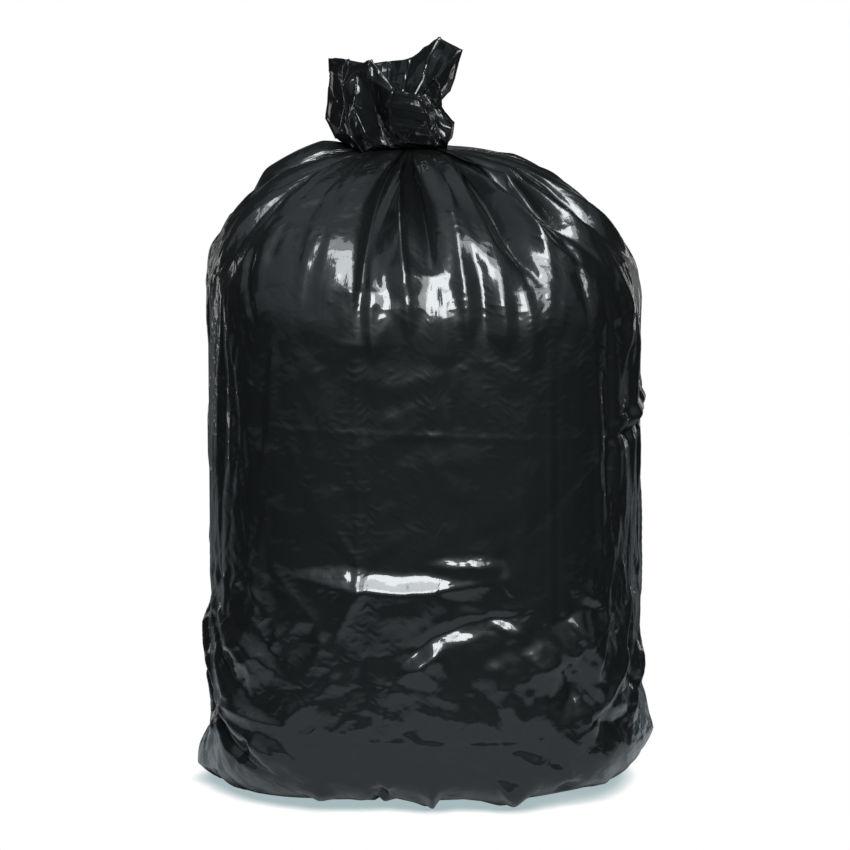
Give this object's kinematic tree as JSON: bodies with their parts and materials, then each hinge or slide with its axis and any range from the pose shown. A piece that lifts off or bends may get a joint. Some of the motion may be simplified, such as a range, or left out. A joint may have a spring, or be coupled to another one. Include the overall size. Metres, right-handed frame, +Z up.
{
  "type": "filled bin bag tied at the neck",
  "caption": "Full bin bag of thin glossy film standing on its base, its mouth gathered and tied on itself into a crumpled tuft.",
  "frame": {"origin": "middle of the flat patch that the bag stands on", "axes": "+Z up to the tied mouth, +X to the right and -Y to the front, the side with the flat panel and its packing creases"},
  "size_m": [0.4537, 0.3838, 0.748],
  "materials": {
    "black_film": "gloss"
  },
  "bodies": {
    "root": {"bin_bag": "black_film"}
  },
  "joints": []
}
